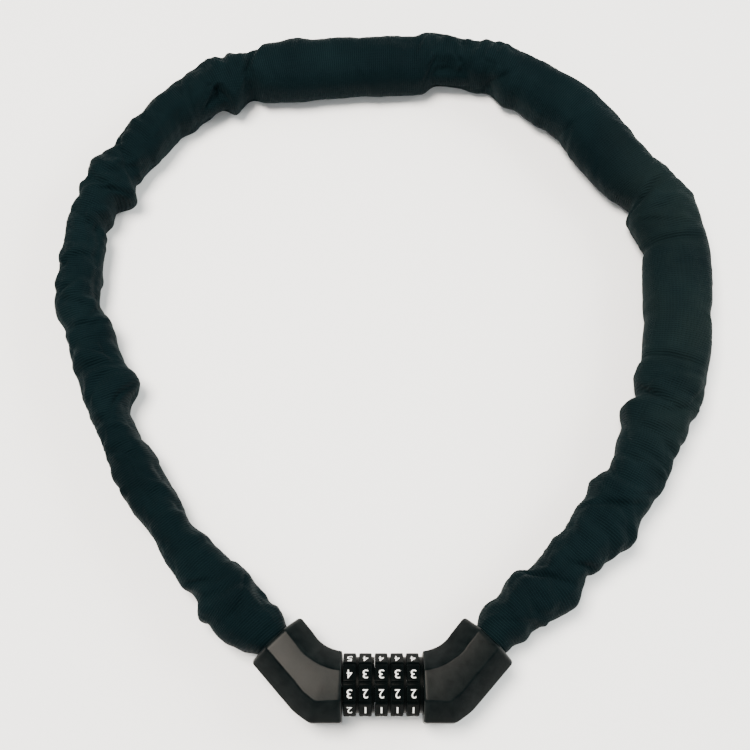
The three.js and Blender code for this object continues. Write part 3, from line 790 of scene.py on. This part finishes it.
def make_nose():
    """The zinc nose, ribbed for the thumb, with the slot that the locking pin's teeth pass."""
    slot_half = math.asin(NOSE_SLOT / 2 / NOSE_SLOT_RADIUS)
    angle = np.linspace(slot_half, 2 * math.pi - slot_half, NOSE_SIDES)
    rings = []

    def ring(x, reach):
        rings.append(np.column_stack([np.full(NOSE_SIDES, x), reach * np.sin(angle), reach * np.cos(angle)]))

    for x, radius in nose_profile():
        on_rim = radius > 8.9 and -20.3 < x < -17.2
        ring(x, radius - RIB_DEPTH * (0.5 + 0.5 * np.cos(angle * RIB_COUNT)) * on_rim)
    for x in (-21, -16.9):
        ring(x, NOSE_BORE)
    rings = np.array(rings)
    index = np.arange(len(rings) * NOSE_SIDES).reshape(len(rings), NOSE_SIDES)
    faces = []
    for i in range(len(rings)):
        faces += strips(list(index[i]), list(index[(i + 1) % len(rings)]), closed=False)
    points = rings.reshape(-1, 3)
    for column in (0, NOSE_SIDES - 1):
        loop = [int(k) for k in index[:, column]]
        flat = [[Vector((points[k][0], math.hypot(points[k][1], points[k][2]), 0)) for k in loop]]
        for triangle in tessellate_polygon(flat):
            faces.append(tuple(loop[k] for k in triangle))
    nose = new_object("reset_nose_body", points + LOCK, faces, smooth_angle=28)
    face_outwards(nose)
    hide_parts("reset_nose")
    return nose


sleeve = make_sleeve()


# ---- the room ----
FLOOR_HALF = 40.0  # metres


def make_floor():
    mesh = bpy.data.meshes.new("floor")
    corners = [(x * FLOOR_HALF, y * FLOOR_HALF, 0) for x, y in ((-1, -1), (1, -1), (1, 1), (-1, 1))]
    mesh.from_pydata(corners, [], [(0, 1, 2, 3)])
    floor = bpy.data.objects.new("floor", mesh)
    floor.location.z = -0.0002
    bpy.context.scene.collection.objects.link(floor)
    return floor


def area_light(name, place, target, size, power, color=(1, 1, 1)):
    data = bpy.data.lights.new(name, "AREA")
    data.shape = "RECTANGLE"
    data.size, data.size_y = size
    data.energy = power
    data.color = color
    light = bpy.data.objects.new(name, data)
    bpy.context.scene.collection.objects.link(light)
    light.location = place
    light.rotation_euler = (Vector(target) - Vector(place)).to_track_quat("-Z", "Y").to_euler()


floor = make_floor()
area_light("key", (-0.34, 0.08, 1.36), (0, 0, 0), (0.55, 0.55), 60, (1, 0.93, 0.85))
area_light("side", (1.25, 0.35, 0.75), (0.05, 0, 0), (0.7, 1.0), 30, (0.96, 1, 0.96))
area_light("front", (0.1, -1.3, 0.9), (0, 0, 0), (1.2, 0.5), 3, (0.92, 1, 1))
world = bpy.data.worlds.new("studio")
bpy.context.scene.world = world
world.use_nodes = True
world.node_tree.nodes["Background"].inputs["Color"].default_value = (0.97, 1, 1, 1)
world.node_tree.nodes["Background"].inputs["Strength"].default_value = 0.75


# ---- materials ----
class Look:
    """A material being built: its node tree and its shader."""

    def __init__(self, name, color, roughness, metallic=0.0):
        self.material = bpy.data.materials.new(name)
        self.material.use_nodes = True
        self.tree = self.material.node_tree
        self.shader = self.tree.nodes["Principled BSDF"]
        self.shader.inputs["Base Color"].default_value = (*color, 1)
        self.shader.inputs["Roughness"].default_value = roughness
        self.shader.inputs["Metallic"].default_value = metallic
        self.material.diffuse_color = (*color, 1)

    def node(self, kind, **values):
        made = self.tree.nodes.new(kind)
        for key, value in values.items():
            if hasattr(made, key):
                setattr(made, key, value)
            else:
                made.inputs[key.replace("_", " ")].default_value = value
        return made

    def link(self, out, into):
        self.tree.links.new(out, into)

    def position(self):
        return self.node("ShaderNodeTexCoord").outputs["Object"]

    def noise(self, scale, detail, roughness=0.5):
        made = self.node("ShaderNodeTexNoise", Scale=scale, Detail=detail, Roughness=roughness)
        self.link(self.position(), made.inputs["Vector"])
        return made.outputs["Fac"]

    def math(self, operation, a, b=None, clamp=False):
        made = self.node("ShaderNodeMath", operation=operation, use_clamp=clamp)
        for value, socket in ((a, made.inputs[0]), (b, made.inputs[1])):
            if value is None:
                continue
            if isinstance(value, (int, float)):
                socket.default_value = value
            else:
                self.link(value, socket)
        return made.outputs[0]

    def spread(self, value, low, high, out_low=0.0, out_high=1.0):
        made = self.node("ShaderNodeMapRange")
        self.link(value, made.inputs["Value"])
        sockets = ("From Min", "From Max", "To Min", "To Max")
        for socket, number in zip(sockets, (low, high, out_low, out_high)):
            made.inputs[socket].default_value = number
        return made.outputs["Result"]

    def colors(self, factor, *stops):
        ramp = self.node("ShaderNodeValToRGB")
        elements = ramp.color_ramp.elements
        while len(elements) < len(stops):
            elements.new(0.5)
        for element, (place, color) in zip(elements, stops):
            element.position = place
            element.color = (*color, 1)
        self.link(factor, ramp.inputs["Fac"])
        return ramp.outputs["Color"]

    def mix(self, factor, first, second):
        made = self.node("ShaderNodeMix", data_type="RGBA")
        self.link(factor, made.inputs["Factor"])
        for value, socket in ((first, made.inputs[6]), (second, made.inputs[7])):
            if isinstance(value, tuple):
                socket.default_value = (*value, 1)
            else:
                self.link(value, socket)
        return made.outputs[2]

    def attribute(self, name):
        return self.node("ShaderNodeAttribute", attribute_name=name).outputs["Fac"]

    def base(self, color):
        self.link(color, self.shader.inputs["Base Color"])

    def rough(self, value):
        self.link(value, self.shader.inputs["Roughness"])

    def bump(self, height, strength, distance, after=None):
        made = self.node("ShaderNodeBump", Strength=strength, Distance=distance)
        self.link(height, made.inputs["Height"])
        if after:
            self.link(after, made.inputs["Normal"])
        self.link(made.outputs["Normal"], self.shader.inputs["Normal"])
        return made.outputs["Normal"]


RIB_SPACING = 0.00105  # metres along the sleeve
YARN_SPACING = 0.0012  # metres round it


def fabric_look():
    look = Look("woven_nylon", (0.0014, 0.0037, 0.0045), 0.72)
    look.shader.inputs["Specular IOR Level"].default_value = 0.025
    look.shader.inputs["Sheen Weight"].default_value = 0.014
    look.shader.inputs["Sheen Roughness"].default_value = 0.45
    look.shader.inputs["Sheen Tint"].default_value = (0.4, 0.62, 0.66, 1)
    look.shader.inputs["Specular Tint"].default_value = (0.62, 0.9, 1.0, 1)
    u, v = look.attribute("along"), look.attribute("around")
    rib = look.math("SINE", look.math("MULTIPLY", u, 2 * math.pi / RIB_SPACING))
    yarn = look.math("SINE", look.math("MULTIPLY", v, 2 * math.pi / YARN_SPACING))
    over = look.math("MULTIPLY", rib, look.math("ADD", look.math("MULTIPLY", yarn, 0.35), 0.65))
    cloud = look.noise(26, 4, 0.6)
    fine = look.noise(900, 2, 0.6)
    tone = look.math("ADD", look.math("MULTIPLY", over, 0.24), cloud)
    # Painted highlight: a paler grey-green patch on the loop's right side, set by position and broken up by
    # noise, stands in for the side light's sheen on the fabric.
    place = look.node("ShaderNodeSeparateXYZ")
    look.link(look.position(), place.inputs[0])
    painted_highlight = look.math(
        "MULTIPLY",
        look.spread(place.outputs["X"], 0.105, 0.16, 0, 0.8),
        look.spread(look.noise(30, 4, 0.65), 0.25, 0.7),
        clamp=True,
    )
    woven = look.colors(
        tone,
        (0.22, (0.0008, 0.0027, 0.0034)),
        (0.55, (0.0014, 0.0045, 0.0055)),
        (0.88, (0.0032, 0.0080, 0.0090)),
    )
    # mix in the painted highlight's paler grey-green colour
    look.base(look.mix(painted_highlight, woven, (0.0078, 0.0126, 0.0112)))
    look.rough(look.spread(cloud, 0.3, 0.7, 0.66, 0.82))
    first = look.bump(over, 0.8, 0.00018)
    look.bump(fine, 0.25, 0.00012, after=first)
    return look.material


def plastic_look(name, color, roughness, worn_color, shine):
    """Moulded plastic, darker than the real one, with a fine grain and paler edges where hands rub it."""
    look = Look(name, color, roughness)
    look.shader.inputs["Specular IOR Level"].default_value = shine
    look.shader.inputs["Specular Tint"].default_value = (1, 0.95, 0.9, 1)
    cloud = look.noise(240, 5, 0.65)
    grain = look.noise(2600, 2, 0.5)
    wear = look.math("MULTIPLY", look.attribute("wear"), look.spread(cloud, 0.35, 0.75), clamp=True)
    tone = look.mix(look.spread(cloud, 0.3, 0.7), color, tuple(1.3 * c for c in color))
    look.base(look.mix(wear, tone, worn_color))
    look.rough(look.spread(cloud, 0.3, 0.7, roughness - 0.02, roughness + 0.03))
    look.bump(grain, 0.12, 0.00005)
    return look.material


METAL_CLOUDS = 300


def metal_look(name, color, roughness):
    look = Look(name, color, roughness, 1.0)
    cloud = look.noise(METAL_CLOUDS, 4, 0.6)
    tone = look.mix(look.spread(cloud, 0.3, 0.7), tuple(0.7 * c for c in color), color)
    look.base(tone)
    look.rough(look.spread(cloud, 0.3, 0.7, roughness - 0.08, roughness + 0.1))
    look.bump(look.noise(METAL_CLOUDS * 6, 2), 0.1, 0.00005)
    return look.material


LOOKS = {
    "housing_plastic": plastic_look(
        "satin_plastic", (0.0003, 0.0014, 0.0017), 0.3, worn_color=(0.005, 0.007, 0.007), shine=0.05
    ),
    "dial_plastic": plastic_look(
        "dial_plastic", (0.0005, 0.0011, 0.0012), 0.34, worn_color=(0.004, 0.006, 0.006), shine=0.022
    ),
    "die_cast_zinc": metal_look("die_cast_zinc", (0.13, 0.132, 0.135), 0.48),
    "cast_core": metal_look("blackened_zinc", (0.02, 0.02, 0.021), 0.7),
    "hardened_steel": metal_look("galvanised_steel", (0.2, 0.205, 0.21), 0.34),
    "screw_steel": metal_look("screw_steel", (0.12, 0.12, 0.125), 0.32),
    "spring_steel": metal_look("blued_spring_steel", (0.03, 0.032, 0.038), 0.4),
    "barrel_brass": metal_look("browned_brass", (0.016, 0.012, 0.008), 0.6),
}
for part in frame["record"]["subparts"]:
    node = frame["nodes"][part["node"]]
    if part["material_slot"] in LOOKS:
        node.data.materials.clear()
        look = "cast_core" if part["node"].endswith("_core") else part["material_slot"]
        node.data.materials.append(LOOKS[look])

for side, name, body in ((1, "barrel", "barrel_housing"), (-1, "bolt", "bolt_housing")):
    for upper, half, node in ((True, "upper", "front"), (False, "lower", "rear")):
        shell = make_shell(f"{name}_housing_{half}", side, upper, [f"{name}_housing_{node}_shell"])
        shell.data.materials.clear()
        shell.data.materials.append(LOOKS["housing_plastic"])
        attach(shell, body)
digit_paint = Look("digit_paint", (0.78, 0.78, 0.76), 0.5).material
for number in range(1, DIAL_COUNT + 1):
    dial = make_dial(number)
    dial.data.materials.append(LOOKS["dial_plastic"])
    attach(dial, f"dial_{number}")
    digits = make_digits(number)
    digits.data.materials.append(digit_paint)
    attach(digits, f"dial_{number}")

nose = make_nose()
nose.data.materials.append(LOOKS["die_cast_zinc"])
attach(nose, "nose")

sleeve.data.materials.append(fabric_look())
floor.data.materials.append(Look("studio_floor", (0.93, 0.93, 0.93), 0.7).material)

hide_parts("fabric_sleeve")
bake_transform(sleeve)
